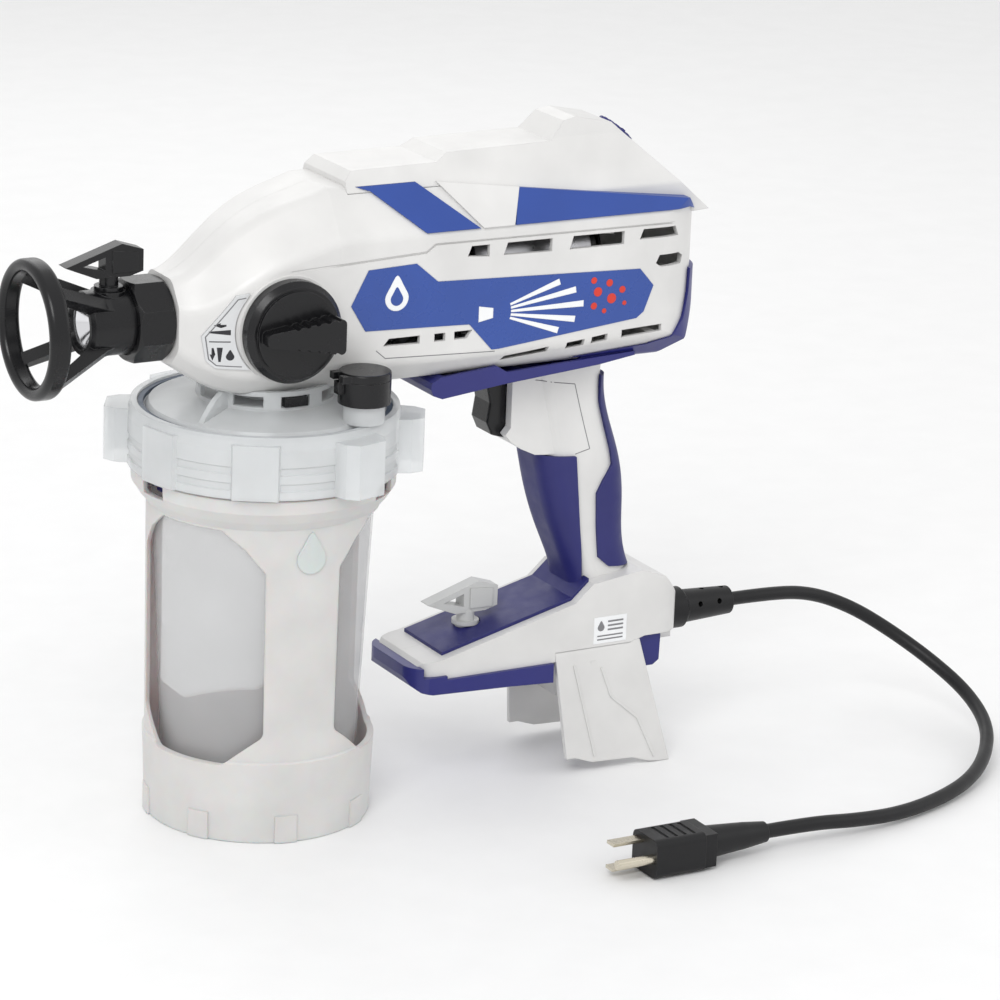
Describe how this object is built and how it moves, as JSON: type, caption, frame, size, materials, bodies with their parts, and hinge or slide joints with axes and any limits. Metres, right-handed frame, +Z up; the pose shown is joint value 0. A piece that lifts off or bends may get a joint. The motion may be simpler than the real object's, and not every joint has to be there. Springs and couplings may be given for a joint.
{
  "type": "airless paint sprayer",
  "caption": "Handheld corded airless paint sprayer with a paint cup under its nose, a prime knob, a reversible tip in a guard, a trigger handle and a stand.",
  "frame": {"origin": "on the paint cup's axis, at the surface the sprayer stands on", "axes": "+Z up; the spray leaves along -X; the prime knob is on the -Y side"},
  "size_m": [0.5204, 0.2495, 0.34],
  "materials": {
    "white_plastic": "satin, fine moulded texture",
    "cup_plastic": "pale grey, slightly translucent, satin",
    "clear_plastic": "milky translucent",
    "liner_film": "thin milky film",
    "blue_plastic": "satin",
    "blue_rubber": "soft-touch matt",
    "black_plastic": "semi-gloss",
    "black_rubber": "matt",
    "grey_plastic": "satin",
    "steel": "machined",
    "chrome": "polished",
    "brass": "nickel-washed brass",
    "copper": "copper",
    "aluminium": "cast and machined",
    "magnet": "ferrite",
    "carbon": "graphite",
    "board": "solder mask",
    "gasket": "dark blue-grey, matt"
  },
  "bodies": {
    "gun": {"left_housing": "white_plastic", "right_housing": "white_plastic", "housing_screws": "steel", "top_cover": "white_plastic", "front_side_panels": "blue_plastic", "rear_side_panels": "blue_plastic", "lower_trim": "blue_plastic", "rear_grip": "blue_rubber", "front_grip": "blue_rubber", "base_bumper": "blue_plastic", "stand": "white_plastic", "side_labels": "blue_plastic", "prime_plate": "aluminium", "control_board": "board", "trigger_spring": "steel", "trigger_switch": "black_plastic", "motor_can": "steel", "motor_end_plate": "black_plastic", "motor_magnets": "magnet", "carbon_brushes": "carbon", "bearings": "steel", "pump_block": "aluminium", "gear_plate": "steel", "outlet_fitting": "steel", "inlet_fitting": "steel", "inlet_strainer": "grey_plastic", "lid": "clear_plastic", "lid_gasket": "gasket", "vent_body": "black_plastic", "strain_relief": "black_rubber", "power_cord": "black_rubber", "plug_body": "black_rubber", "plug_blades": "brass"},
    "dial": {"speed_dial": "blue_plastic"},
    "trigger": {"trigger": "black_plastic"},
    "rotor": {"armature": "steel", "commutator": "copper", "motor_shaft": "steel", "cooling_fan": "black_plastic", "pinion": "steel"},
    "swash": {"drive_gear": "steel", "swash_shaft": "steel"},
    "prime_valve": {"prime_knob": "black_plastic", "prime_valve_stem": "steel"},
    "guard_nut": {"retaining_nut": "black_plastic"},
    "guard": {"tip_guard": "black_plastic", "tip_seat": "chrome"},
    "tip": {"spray_tip": "black_plastic"},
    "spare": {"spare_tip": "grey_plastic"},
    "cup": {"cup_holder": "cup_plastic", "liner": "liner_film"},
    "cup_nut": {"ring_nut": "clear_plastic"},
    "flap": {"vent_flap": "black_plastic"},
    "latch": {"lid_latch": "black_plastic"},
    "plunger_1": {"piston_1": "steel", "piston_spring_1": "steel"},
    "plunger_2": {"piston_2": "steel", "piston_spring_2": "steel"},
    "plunger_3": {"piston_3": "steel", "piston_spring_3": "steel"}
  },
  "joints": [
    {"name": "trigger_pull", "type": "slide", "parent": "gun", "child": "trigger", "axis": [1, 0, 0], "range_m": [0, 0.007], "stiffness_N_per_m": 800, "springref_m": -0.004},
    {"name": "speed_dial_turn", "type": "hinge", "parent": "gun", "child": "dial", "pos_m": [0.19, 0, 0.3271], "axis": [0.6616, 0, 0.7498], "range_deg": [0, 270]},
    {"name": "swash_spin", "type": "hinge", "parent": "gun", "child": "swash", "pos_m": [0.084, 0, 0.2448], "axis": [1, 0, 0], "continuous": true},
    {"name": "rotor_spin", "type": "hinge", "parent": "gun", "child": "rotor", "pos_m": [0.084, 0, 0.268], "axis": [1, 0, 0], "continuous": true},
    {"name": "prime_turn", "type": "hinge", "parent": "gun", "child": "prime_valve", "pos_m": [-0.007, -0.037, 0.254], "axis": [0, -1, 0], "range_deg": [0, 90]},
    {"name": "guard_nut_turn", "type": "hinge", "parent": "gun", "child": "guard_nut", "pos_m": [-0.066, 0, 0.256], "axis": [-1, 0, 0], "range_deg": [0, 360]},
    {"name": "guard_turn", "type": "hinge", "parent": "gun", "child": "guard", "pos_m": [-0.084, 0, 0.256], "axis": [-1, 0, 0], "range_deg": [-90, 90]},
    {"name": "tip_turn", "type": "hinge", "parent": "guard", "child": "tip", "pos_m": [-0.084, 0, 0.262], "axis": [0, 0, 1], "range_deg": [0, 180]},
    {"name": "spare_tip_pull", "type": "slide", "parent": "gun", "child": "spare", "axis": [0, 0, 1], "range_m": [0, 0.03]},
    {"name": "cup_lower", "type": "slide", "parent": "gun", "child": "cup", "axis": [0, 0, -1], "range_m": [0, 0.06]},
    {"name": "cup_nut_turn", "type": "hinge", "parent": "gun", "child": "cup_nut", "pos_m": [0, 0, 0.19], "axis": [0, 0, 1], "range_deg": [0, 360]},
    {"name": "vent_flap_open", "type": "hinge", "parent": "gun", "child": "flap", "pos_m": [0.0127, -0.0512, 0.2305], "axis": [0, -1, 0], "range_deg": [0, 50]},
    {"name": "latch_press", "type": "slide", "parent": "gun", "child": "latch", "axis": [0.0175, 0.9998, 0], "range_m": [0, 0.0015], "stiffness_N_per_m": 300, "springref_m": -0.001},
    {"name": "plunger_1_stroke", "type": "slide", "parent": "gun", "child": "plunger_1", "axis": [-1, 0, 0], "range_m": [0, 0.004], "stiffness_N_per_m": 1500, "springref_m": -0.002},
    {"name": "plunger_2_stroke", "type": "slide", "parent": "gun", "child": "plunger_2", "axis": [-1, 0, 0], "range_m": [0, 0.004], "stiffness_N_per_m": 1500, "springref_m": -0.002},
    {"name": "plunger_3_stroke", "type": "slide", "parent": "gun", "child": "plunger_3", "axis": [-1, 0, 0], "range_m": [0, 0.004], "stiffness_N_per_m": 1500, "springref_m": -0.002}
  ],
  "couplings": [
    {"joint": "swash_spin", "follows": "rotor_spin", "ratio": -0.20833}
  ]
}
